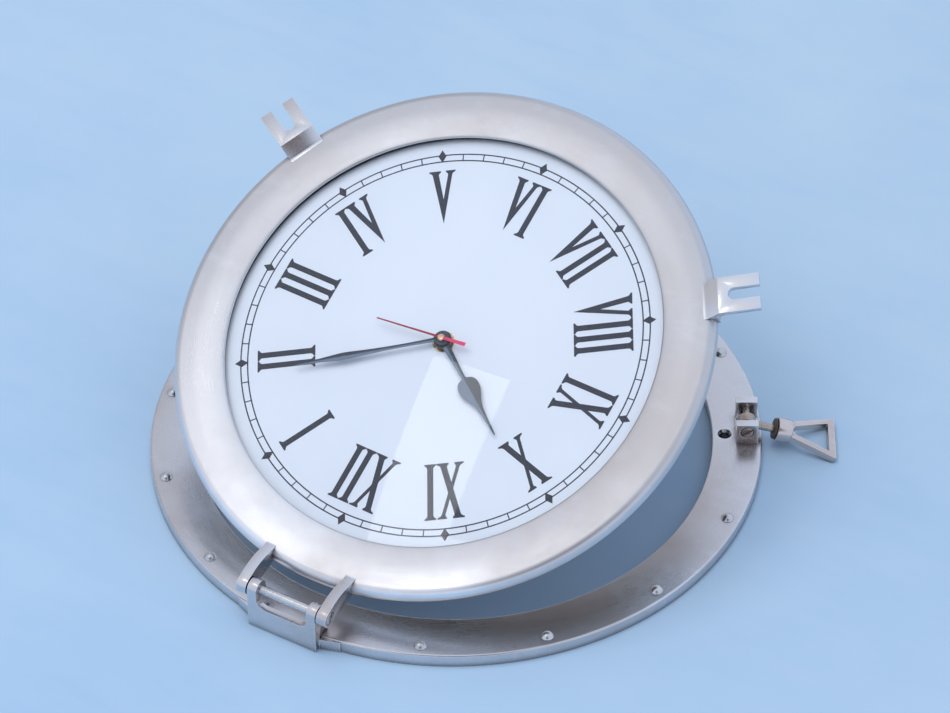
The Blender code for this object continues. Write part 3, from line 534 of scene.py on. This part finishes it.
def make_dog(side):
    """Clevis, pivot screw, eye bolt, washer and loop nut at one side of the base ring."""
    angle = DOG_ANGLES[side]
    hand = 1 if side == "right" else -1
    stand = spun(angle)
    pivot = stand @ Matrix.Translation((DOG_RADIUS, 0, DOG_Z)) @ spun(DOG_DROOP, "Y")
    along, level = spun(pi / 2, "Y"), spun(-pi / 2, "X")

    def handed(mesh):
        """The left dog is the right one mirrored in the bolt's plane."""
        work = bmesh.new()
        work.from_mesh(mesh)
        work.transform(Matrix.Diagonal((1, hand, 1, 1)))
        if hand < 0:
            bmesh.ops.reverse_faces(work, faces=work.faces)
        return mesh_from(work)

    near, far, lug, low = -0.0103, 0.0197, 0.0060, BASE_THICK + 0.0002
    inner, outer, top = DOG_RADIUS - 0.0075, DOG_RADIUS + 0.0078, DOG_Z + 0.0065
    across = Matrix.Translation((DOG_RADIUS, 0, DOG_Z)) @ level
    fork = box((inner - 0.001, outer + 0.001), (near + lug, far - lug), (low + 0.0022, 0.04))
    shape = solved(box((inner, outer), (near, far), (low, top)), ("DIFFERENCE", fork),
                   ("DIFFERENCE", moved(rod(PIVOT_BORE, near - 0.001, far + 0.001), across)),
                   ("DIFFERENCE", moved(rod(SCREW_BORE, near - 0.001, near + 0.0024), across)))
    piece("dog_clevis_fine_" + side, handed(shape), CAST_METAL, "base", ["dog_clevis_" + side],
          stand, bevel=0.0005, segments=3)

    head = near + 0.0004
    screw = turned([(0, far - 0.001), (0.0022, far - 0.001), (0.0025, far - 0.0013), (0.0025, near + 0.0021),
                    (0.0044, near + 0.0021), (0.0044, head)] + arc((0.0036, head), 0.0008, 0, -70, 4)
                   + [(0, near - 0.0002)], 48, closed=False)
    notch = moved(box((-0.0048, 0.0048), (near - 0.001, near + 0.0009), (-0.0005, 0.0005)),
                  Matrix.Translation((DOG_RADIUS, 0, DOG_Z)) @ spun(radians(-35), "Y"))
    screw = solved(moved(screw, across), ("DIFFERENCE", notch))
    piece("dog_pivot_screw_fine_" + side, handed(screw), AGED_STEEL, "base",
          ["dog_pivot_screw_" + side], stand)

    tip = arc((0.0022, 0.0332), 0.0008, 90, 0, 4)
    shank = turned([(0, 0.0340)] + tip + [(0.0030, 0.0040), (0, 0.0040)], 48, closed=False)
    eye = moved(turned([(0.0060, 0.0040), (0.0065, 0.0035), (0.0065, -0.0035), (0.0060, -0.0040),
                        (PIVOT_BORE, -0.0040), (PIVOT_BORE, 0.0040)], 48), level)
    bolt = solved(eye, ("UNION", moved(shank, along)),
                  ("DIFFERENCE", moved(rod(PIVOT_BORE, -0.006, 0.006), level)))
    piece("dog_eyebolt_fine_" + side, bolt, AGED_STEEL, "bolt_" + side,
          ["dog_eyebolt_" + side], pivot)

    face = 0.0197
    washer = [(0.0071, face + 0.0015), (0.0075, face + 0.0011), (0.0075, face + 0.0003), (0.0072, face),
              (0.0033, face), (0.0033, face + 0.0015)]
    # the washer's bronze is painted dark, partly as painted shade on its face
    piece("dog_washer_fine_" + side, moved(turned(washer, 48), along), BRONZE_WITH_PAINTED_SHADE, "washer_" + side,
          ["dog_washer_" + side], pivot)

    start, end = face + 0.0018, 0.0325
    hub = turned([(0, end)] + arc((0.0073, end - 0.0012), 0.0012, 90, 0, 5)
                 + arc((0.0077, start + 0.0008), 0.0008, 0, -90, 4) + [(0, start)], 64, closed=False)
    ring = rounded([(end - 0.0025, -0.0068), (0.0647, -0.0203), (0.0647, 0.0203), (end - 0.0025, 0.0068)],
                   [0, 0.0010, 0.0010, 0], 5)
    window = rounded([(0.0348, -0.0040), (0.0600, -0.0141), (0.0600, 0.0141), (0.0348, 0.0040)],
                     [0.0012, 0.0007, 0.0007, 0.0012], 4)
    nut = solved(moved(hub, along), ("UNION", flat([ring], -0.0025, 0.0025)),
                 ("DIFFERENCE", flat([window], -0.01, 0.01)),
                 ("DIFFERENCE", moved(rod(0.0033, 0.0, 0.036), along)))
    piece("dog_nut_fine_" + side, nut, LOOP_METAL, "nut_" + side, ["dog_nut_" + side], pivot,
          bevel=0.0004, segments=2, angle=40)


def door_skin(grow=0.0):
    """The door ring's outer section from its lip down to the skirt's foot."""
    g = grow
    top = smooth_line([(DOOR_LIP + 0.0004, 0.0238 + g), (0.1565, 0.0244 + g), (0.1620, 0.0251 + g),
                       (0.1690, 0.0257 + g), (0.1760, DOOR_CREST + g), (0.1820, 0.02592 + g),
                       (0.1867, 0.02576 + g)], 4)
    edge = arc((0.1860, 0.0193), 0.0065 + g, 80, 0, 12)
    return top + edge + [(0.1925 + g, 0.0178), (0.1920 + g, 0.0173 - g), (DOOR_FOOT + g, 0.0173 - g),
                         (DOOR_FOOT + g, BASE_THICK + 0.0005 - g),
                         (DOOR_FOOT - 0.0003 + g, BASE_THICK + 0.0003 - g)]


def make_door():
    """The door ring, the two fork lugs that take the bolts, and the two hinge arms."""
    inside = [(0.1820, 0.0103), (0.1820, 0.0208), (0.1705, 0.0208), (0.1705, DIAL_LOW),
              (SEAT + 0.0005, DIAL_LOW), (SEAT + 0.0005, 0.0226), (DOOR_LIP + 0.0002, 0.0226),
              (DOOR_LIP, 0.0230), (DOOR_LIP, 0.0235)]
    piece("door_ring_fine", turned(door_skin() + inside, 288), RING_METAL, "door",
          ["door_ring"], DOOR)

    skin = turned([(0, DOOR_CREST + 0.0001)] + door_skin(0.0001) + [(0, BASE_THICK)], 192, closed=False)
    for side, angle in DOG_ANGLES.items():
        section = [(LUG_END, 0.029), (LUG_END, 0.033), (0.1950, 0.033)]
        section += smooth_line([(0.1870, 0.0274), (0.1855, 0.0265), (0.1835, 0.0260), (0.1805, 0.0257)], 4)
        section += [(0.1800, 0.0185), (0.1938, 0.0185)]
        section += smooth_line([(0.1942, 0.0225), (0.1952, 0.0256), (0.1968, 0.0280), (0.1995, 0.029)], 4)
        plate = moved(flat([section], -LUG_HALF, LUG_HALF), UPRIGHT)
        slot = arc((SLOT_ROOT, 0), SLOT_HALF, 90, 270, 20) + [(0.230, -SLOT_HALF), (0.230, SLOT_HALF)]
        lug = solved(plate, ("DIFFERENCE", flat([slot], 0.020, 0.040)),
                     ("DIFFERENCE", moved(skin.copy(), spun(-angle))))
        piece("fork_lug_fine_" + side, lug, LUG_METAL, "door", ["fork_lug_" + side],
              DOOR @ spun(angle), bevel=0.0003, segments=2, angle=28)

    for side, sign in (("right", 1), ("left", -1)):
        section = arc((PIN.y, PIN.z), 0.0068, 250, 80, 24)
        section += smooth_line([(-0.2060, 0.0370), (-0.1995, 0.0352), (-0.1925, 0.0320),
                                (-0.1860, 0.0280), (-0.1815, 0.0259)], 5)
        section += [(-0.1815, 0.0225), (-0.1900, 0.0186)]
        section += smooth_line([(-0.1930, 0.0183), (-0.1975, 0.0194), (-0.2030, 0.0212)], 3)[1:]
        low, high = sorted((PIN.x + sign * ARM_INNER, PIN.x + sign * ARM_OUTER))
        at_pin = Matrix.Translation(PIN) @ spun(pi / 2, "Y")
        steps = [("DIFFERENCE", moved(rod(PIN_RADIUS + PIN_GAP, -0.05, 0.05), at_pin)),
                 ("DIFFERENCE", skin.copy())]
        if side == "right":
            steps.append(("DIFFERENCE", moved(rod(SCREW_BORE, ARM_OUTER - 0.0025, 0.06), at_pin)))
        arm = solved(moved(flat([section], low, high), SIDEWAYS), *steps)
        piece("hinge_arm_fine_" + side, arm, CAST_METAL, "door", ["hinge_arm_" + side], DOOR,
              bevel=0.0006, segments=3, angle=40)


def make_glazing():
    """The domed glass on its gasket and spacer, and the dial with its backing under it."""

    def dome(level):
        """Points of one dome surface from its middle to its rim."""
        return [(GLASS_RIM * k / 16, level + GLASS_DOME * (1 - (k / 16) ** 2)) for k in range(17)]

    low, top = GLASS_LOW, GLASS_LOW + GLASS_THICK
    rim = [(SEAT - 0.0003, top), (SEAT, top - 0.0003), (SEAT, low + 0.0003), (SEAT - 0.0003, low)]
    piece("glass_fine", turned(dome(top) + rim + dome(low)[::-1], 192, closed=False), GLASS, "door",
          ["glass"], DOOR)
    top += 0.0001
    strip = [(SEAT, 0.0225), (SEAT, top), (0.1565, top), (0.1562, top + 0.0002), (0.1562, 0.0223),
             (0.1565, 0.0225)]
    piece("glass_gasket_fine", turned(strip, 192), RUBBER, "door", ["glass_gasket"], DOOR)
    spacer = [(SEAT, low - 0.0002), (SEAT, DIAL_TOP + 0.0001), (0.1570, DIAL_TOP + 0.0001),
              (0.1567, DIAL_TOP + 0.0004), (0.1567, low - 0.0005), (0.1570, low - 0.0002)]
    piece("spacer_ring_fine", turned(spacer, 192), BLACK, "door", ["spacer_ring"], DOOR)

    middle = DIAL_LOW + 0.0004
    face = [(SEAT - 0.0001, DIAL_TOP), (SEAT, DIAL_TOP - 0.0001), (SEAT, middle), (DIAL_BORE, middle),
            (DIAL_BORE, DIAL_TOP)]
    piece("dial_face", turned(face, 192), DIAL, "door", ["dial_plate"], DOOR)
    board = [(SEAT, middle), (SEAT, DIAL_LOW), (DIAL_BORE, DIAL_LOW), (DIAL_BORE, middle)]
    piece("dial_backing", turned(board, 192), BOARD_BACK, "door", (), DOOR)


def make_clamp_ring():
    """The ring that holds the dial from behind, with its cross-head screws."""
    high, low = DIAL_LOW - 0.0003, CLAMP_LOW
    ring = turned([(0.1692, high), (0.1695, high - 0.0003), (0.1695, low + 0.0003), (0.1692, low),
                   (0.1503, low), (0.1500, low + 0.0003), (0.1500, high - 0.0003), (0.1503, high)], 192)
    turns = [pi / 2 + 2 * pi * k / 3 for k in range(3)]
    spots = [Matrix.Translation((CLAMP_SCREW_CIRCLE * cos(a), CLAMP_SCREW_CIRCLE * sin(a), 0)) for a in turns]
    holes = joined([moved(rod(0.0017, 0.010, 0.020, 24), spot) for spot in spots])
    ring = solved(ring, ("DIFFERENCE", holes))
    piece("retaining_ring_fine", ring, PLATED, "door", ["retaining_ring"], DOOR)
    shank = [(0, 0.0200), (0.0013, 0.0200), (0.0015, 0.0197), (0.0015, low - 0.0002),
             (0.0030, low - 0.0002)] + arc((0.0024, 0.0129), 0.0006, 0, -80, 4) + [(0, 0.0123)]
    cross = [box((-0.0019, 0.0019), (-0.0004, 0.0004), (0.0120, 0.0132)),
             box((-0.0004, 0.0004), (-0.0019, 0.0019), (0.0120, 0.0132))]
    for number, (spot, angle) in enumerate(zip(spots, turns), 1):
        screw = solved(turned(shank, 32, closed=False), ("DIFFERENCE", cross[0].copy()),
                       ("DIFFERENCE", cross[1].copy()))
        piece(f"retaining_screw_fine_{number}", screw, STEEL, "door",
              [f"retaining_screw_{number}"], DOOR @ spot @ spun(angle))


# ================================================================ dial print
NUMERAL_LOW, NUMERAL_HIGH = 0.0915, 0.1330
STEM, THIN = 0.0042, 0.0026
SERIF_REACH, SERIF_THICK, SERIF_CURL = 0.0020, 0.0011, 0.0034
TRACK_OUTER, TRACK_INNER = 0.1451, 0.1402
TRACK_LINE, MINUTE_LINE = 0.00048, 0.00042                # half widths
DIAMOND_LOW, DIAMOND_HIGH, DIAMOND_HALF = 0.1396, 0.1494, 0.0029
INK_LIFT, INK_RISE = 0.00002, 0.00004


def stroke_outline(bottom, top, width, inner=None):
    """One stroke with bracketed serifs.

    A stroke of a V has no foot: it ends in a point, and inner is the height of the V's inner corner.
    """
    low, high, half = NUMERAL_LOW, NUMERAL_HIGH, width / 2
    reach = half + SERIF_REACH

    def serif(side, end, inwards):
        """One side of a serif, from the end of the stroke to where the bracket meets its edge."""
        middle = bottom if end == low else top
        points = [(middle + side * reach, end), (middle + side * reach, end + inwards * SERIF_THICK)]
        for t in (0.25, 0.5, 0.75, 1):
            v = end + inwards * (SERIF_THICK + (SERIF_CURL - SERIF_THICK) * t)
            middle = bottom + (top - bottom) * (v - low) / (high - low)
            points.append((middle + side * (half + SERIF_REACH * (1 - t) ** 2.2), v))
        return points

    if inner is None:
        right, left = serif(1, low, 1), serif(-1, low, 1)
    elif top < bottom:
        right, left = [(bottom, low), (bottom, low + inner)], []
    else:
        right, left = [(bottom, low)], [(bottom, low + inner)]
    return right + serif(1, high, -1)[::-1] + serif(-1, high, -1) + left[::-1]


def numeral_strokes(text):
    """Strokes (bottom, top, width and, in a V, inner corner) of a numeral, centred on zero."""
    widths = {"I": 0.0085, "V": 0.0185, "X": 0.0200}
    place = -sum(widths[letter] for letter in text) / 2
    strokes = []
    for letter in text:
        middle = place + widths[letter] / 2
        if letter == "I":
            strokes.append((middle, middle, STEM))
        elif letter == "V":
            strokes.append((middle + 0.0006, middle - 0.0054, STEM * 1.05, 0.0190))
            strokes.append((middle + 0.0006, middle + 0.0058, THIN * 1.15, 0.0190))
        else:
            strokes.append((middle + 0.0056, middle - 0.0056, STEM * 1.05))
            strokes.append((middle - 0.0060, middle + 0.0060, THIN))
        place += widths[letter]
    return strokes


def clock_angle(turns):
    """Direction of a hand that has made this share of a turn from twelve."""
    return -pi / 2 - 2 * pi * turns + DIAL_TURN


def make_print():
    """Numerals, minute track and hour diamonds, as thin layers of ink on the dial."""
    low = DIAL_TOP + INK_LIFT
    high = low + INK_RISE
    shapes = []
    for number, text in enumerate(NUMERALS):
        turn = spun(clock_angle(number / 12) - pi / 2)
        for k, stroke in enumerate(numeral_strokes(text)):
            lift = INK_LIFT * (k % 3)
            shapes.append(moved(flat([stroke_outline(*stroke)], low + lift, high + lift), turn))
    for radius in (TRACK_OUTER, TRACK_INNER):
        inner, outer = radius - TRACK_LINE, radius + TRACK_LINE
        shapes.append(turned([(outer, high), (outer, low), (inner, low), (inner, high)], 288))
    near, far = TRACK_INNER + 0.0002, TRACK_OUTER - 0.0001
    tick = [(-MINUTE_LINE, near), (MINUTE_LINE, near), (MINUTE_LINE, far), (-MINUTE_LINE, far)]
    waist = (DIAMOND_LOW + DIAMOND_HIGH) / 2
    diamond = [(0, DIAMOND_LOW), (DIAMOND_HALF, waist), (0, DIAMOND_HIGH), (-DIAMOND_HALF, waist)]
    for minute in range(60):
        turn = spun(clock_angle(minute / 60) - pi / 2)
        if minute % 5:
            shapes.append(moved(flat([tick], low, high), turn))
        else:
            shapes.append(moved(flat([diamond], low + INK_LIFT, high + INK_LIFT), turn))
    piece("dial_print", joined(shapes), INK, "door", (), DOOR)


# ================================================================ hands and movement
def ridged(spans, low, thick, rise, angle):
    """A hand as two halves that meet in a raised ridge; spans are (distance, half width) pairs."""
    halves = []
    for sign in (1, -1):
        work = bmesh.new()
        rows = []
        for x, w in spans:
            ridge = low + thick + rise * min(1, w / 0.003)
            corners = (x, 0, low), (x, 0, ridge), (x, sign * w, low + thick), (x, sign * w, low)
            rows.append([work.verts.new(corner) for corner in corners])
        for one, two in zip(rows, rows[1:]):
            for i in range(4):
                work.faces.new((one[i], two[i], two[(i + 1) % 4], one[(i + 1) % 4]))
        work.faces.new(rows[0])
        work.faces.new(rows[-1])
        bmesh.ops.recalc_face_normals(work, faces=work.faces)
        work.transform(spun(angle))
        halves.append(mesh_from(work))
    return halves


def boss(radius, bore, low, high, soft):
    """The round collar of a hand."""
    outline = [(radius - soft, high), (radius, high - soft), (radius, low), (bore, low), (bore, high)]
    return turned(outline, 64)


def make_hands():
    """The hands at the time shown; the hour and minute hands have a painted shaded facet on one side of their
    ridge and a painted lit facet on the other.
    """
    seconds = SECONDS / 60
    minutes = (MINUTES + seconds) / 60
    hours = (HOURS + minutes) / 12

    low = 0.0215
    spans = smooth_line([(0.0040, 0.0026), (0.0120, 0.0023), (0.0220, 0.0019), (0.0330, 0.0015),
                         (0.0350, 0.0022), (0.0365, 0.0052), (0.0395, 0.0071), (0.0430, 0.0077),
                         (0.0475, 0.0070), (0.0530, 0.0047), (0.0590, 0.0026), (0.0680, 0.0015),
                         (0.0840, 0.0005)], 4)
    # painted light: one facet takes the shaded slate, the other the lit slate
    dark, light = ridged(spans, low, 0.0003, 0.0003, clock_angle(hours))
    cap = boss(0.0066, 0.0029, low, low + 0.0006, 0.0002)
    piece("hour_hand_painted_lit", light, SLATE_PAINTED_LIT, "hours", ["hour_hand"], DOOR, angle=12)
    piece("hour_hand_painted_shade", joined([dark, cap]), SLATE_PAINTED_SHADE, "hours", (), DOOR, angle=12)

    low = 0.0231
    spans = smooth_line([(0.0030, 0.0017), (0.0200, 0.0013), (0.0400, 0.0014), (0.0560, 0.0021),
                         (0.0690, 0.0028), (0.0780, 0.0023), (0.0880, 0.0014), (0.1060, 0.0004)], 4)
    # painted light: one facet takes the lit slate, the other the shaded slate
    light, dark = ridged(spans, low, 0.0003, 0.0003, clock_angle(minutes))
    cap = boss(0.0055, 0.0018, low, low + 0.0006, 0.0002)
    piece("minute_hand_painted_lit", light, SLATE_PAINTED_LIT, "minutes", ["minute_hand"], DOOR, angle=12)
    piece("minute_hand_painted_shade", joined([dark, cap]), SLATE_PAINTED_SHADE, "minutes", (), DOOR, angle=12)

    turn = spun(clock_angle(seconds))
    low, high = 0.0251, 0.0255
    needle = [(0.0020, -0.0008), (0.0500, -0.0005), (0.0500, 0.0005), (0.0020, 0.0008)]
    tail = [(-0.0185, 0.0014), (-0.0185, -0.0014), (-0.0020, -0.0011), (-0.0020, 0.0011)]
    piece("second_hand_needle", moved(flat([needle], low, high), turn), RED, "seconds",
          ["second_hand"], DOOR, bevel=0.0001)
    piece("second_hand_tail", moved(flat([tail], low, high), turn), PINK, "seconds", (), DOOR,
          bevel=0.0001)
    inside = [(0.0027, 0.0246), (0.0008, 0.0246), (0.0008, 0.0259), (0, 0.0259)]
    cap = turned([(0, 0.0262)] + arc((0.0021, 0.0256), 0.0006, 90, 0, 5) + inside, 48, closed=False)
    piece("second_hand_cap", cap, COPPER, "seconds", (), DOOR)


def dress_movement():
    """Materials and softened edges on the CAD nodes that stay."""
    looks = {"movement_front_case": BLACK, "movement_rear_case": BLACK, "mounting_bushing": BRASS,
             "bushing_washer": BRASS, "bushing_nut": BRASS, "centre_plate": ACETAL, "stator": PLATED,
             "coil": WIRE, "circuit_board": BOARD, "battery": CELL, "battery_contact_positive": PLATED,
             "battery_contact_negative": PLATED, "rotor": ACETAL, "step_wheel": ACETAL,
             "seconds_wheel": ACETAL, "third_wheel": ACETAL, "centre_wheel": ACETAL, "minute_wheel": ACETAL,
             "hour_wheel": ACETAL}
    for name, material in looks.items():
        thing = frame["nodes"][name]
        thing.data.materials.clear()
        thing.data.materials.append(material)
        if name.startswith("movement"):
            edge = thing.modifiers.new("edge", "BEVEL")
            edge.width = 0.0003
            edge.segments = 2
            edge.limit_method = "ANGLE"


# ================================================================ studio
def make_floor():
    """A pale blue paper floor, a little deeper in colour towards the front."""
    work = bmesh.new()
    bmesh.ops.create_grid(work, x_segments=4, y_segments=4, size=6.0)
    floor = bpy.data.objects.new("floor", mesh_from(work))
    look = Look("floor_paper", (0.37, 0.51, 0.66), 0.85)
    place = look.place()
    cloud = look.noise(place, 3.2, 5.0, 0.6)
    streak = look.noise(look.stretched(place, (3.0, 14.0, 1.0)), 2.4, 6.0, 0.65)
    tone = look.mix(look.span(cloud, 0.35, 0.68), (0.345, 0.49, 0.65), (0.405, 0.54, 0.67))
    tone = look.mix(look.span(streak, 0.40, 0.75, 0.0, 0.35), tone, (0.45, 0.56, 0.69))
    depth = look.node("SeparateXYZ", {"Vector": place}).outputs[1]
    tone = look.mix(look.span(depth, -0.5, 0.5, 0.35, 0.0), tone, (0.22, 0.38, 0.62))
    floor.data.materials.append(look.end(Base_Color=tone, Normal=look.bump(streak, 0.03, 0.002)))
    SCENE.collection.objects.link(floor)


def area_light(name, place, target, size, power, colour):
    data = bpy.data.lights.new(name, "AREA")
    data.shape = "RECTANGLE"
    data.size, data.size_y = size
    data.energy = power
    data.color = colour
    thing = bpy.data.objects.new(name, data)
    thing.location = place
    thing.rotation_euler = (Vector(target) - Vector(place)).to_track_quat("-Z", "Y").to_euler()
    thing.visible_camera = False
    SCENE.collection.objects.link(thing)
    return thing


def make_world():
    """What the metal mirrors: pale blue, brighter overhead, grey at one side, dark near the camera."""
    world = bpy.data.worlds.new("studio")
    world.use_nodes = True
    nodes, links = world.node_tree.nodes, world.node_tree.links
    direction = nodes.new("ShaderNodeTexCoord").outputs["Generated"]

    def near(towards, low, high):
        """0 to 1 as a direction comes nearer to another one."""
        dot = nodes.new("ShaderNodeVectorMath")
        dot.operation = "DOT_PRODUCT"
        dot.inputs[1].default_value = Vector(towards).normalized()
        links.new(direction, dot.inputs[0])
        ramp = nodes.new("ShaderNodeMapRange")
        ramp.interpolation_type = "SMOOTHSTEP"
        ramp.inputs["From Min"].default_value, ramp.inputs["From Max"].default_value = low, high
        links.new(dot.outputs["Value"], ramp.inputs["Value"])
        return ramp.outputs[0]

    colour = (0.68, 0.78, 0.96)
    for tint, towards, low, high in (((0.80, 0.83, 0.91), (-0.38, -0.35, 0.86), 0.80, 0.99),
                                     ((0.55, 0.55, 0.60), (-0.90, 0.30, 0.25), 0.60, 0.95),
                                     ((0.15, 0.12, 0.12), (0.38, -0.63, 0.66), 0.90, 0.985)):
        mix = nodes.new("ShaderNodeMix")
        mix.data_type = "RGBA"
        if isinstance(colour, tuple):
            mix.inputs[6].default_value = (*colour, 1)
        else:
            links.new(colour, mix.inputs[6])
        mix.inputs[7].default_value = (*tint, 1)
        links.new(near(towards, low, high), mix.inputs[0])
        colour = mix.outputs[2]
    links.new(colour, nodes["Background"].inputs["Color"])
    SCENE.world = world


def make_light():
    """A soft overhead light that metal and glass don't mirror, and a window that they do."""
    make_world()
    soft = area_light("softbox", (-0.4, -0.6, 3.0), (0, 0, 0.05), (2.8, 2.4), 60, (1.0, 0.98, 0.94))
    soft.visible_glossy = False
    # a window whose mirror image lies on the glass between eleven and twelve
    area_light("window", (-1.01, -0.95, 3.0), (-1.01, -0.95, 0.0), (0.38, 0.94), 2.7, (1.0, 1.0, 1.0))


def make_camera():
    """The camera looks down on the clock from its hinge side."""
    azimuth, elevation, roll = radians(31.055), radians(42.856), radians(-0.770)
    distance, target = 3.32463, Vector((-0.034884, 0.085234, 0.0))
    back = Vector((sin(azimuth) * cos(elevation), -cos(azimuth) * cos(elevation), sin(elevation)))
    right = Vector((cos(azimuth), sin(azimuth), 0))
    up = back.cross(right)
    turned_right = right * cos(roll) + up * sin(roll)
    turned_up = up * cos(roll) - right * sin(roll)
    rows = Matrix((turned_right, turned_up, back)).transposed().to_4x4()
    data = bpy.data.cameras.new("camera")
    data.sensor_width = 36.0
    data.lens = 174.335
    data.clip_start, data.clip_end = 0.1, 50.0
    camera = bpy.data.objects.new("camera", data)
    camera.matrix_world = Matrix.Translation(target + back * distance) @ rows
    SCENE.collection.objects.link(camera)
    SCENE.camera = camera


make_camera()
make_floor()
make_light()
make_base()
make_hinge()
for dog_side in DOG_ANGLES:
    make_dog(dog_side)
make_door()
make_glazing()
make_clamp_ring()
make_print()
make_hands()
dress_movement()
SCENE.view_settings.view_transform = "Standard"
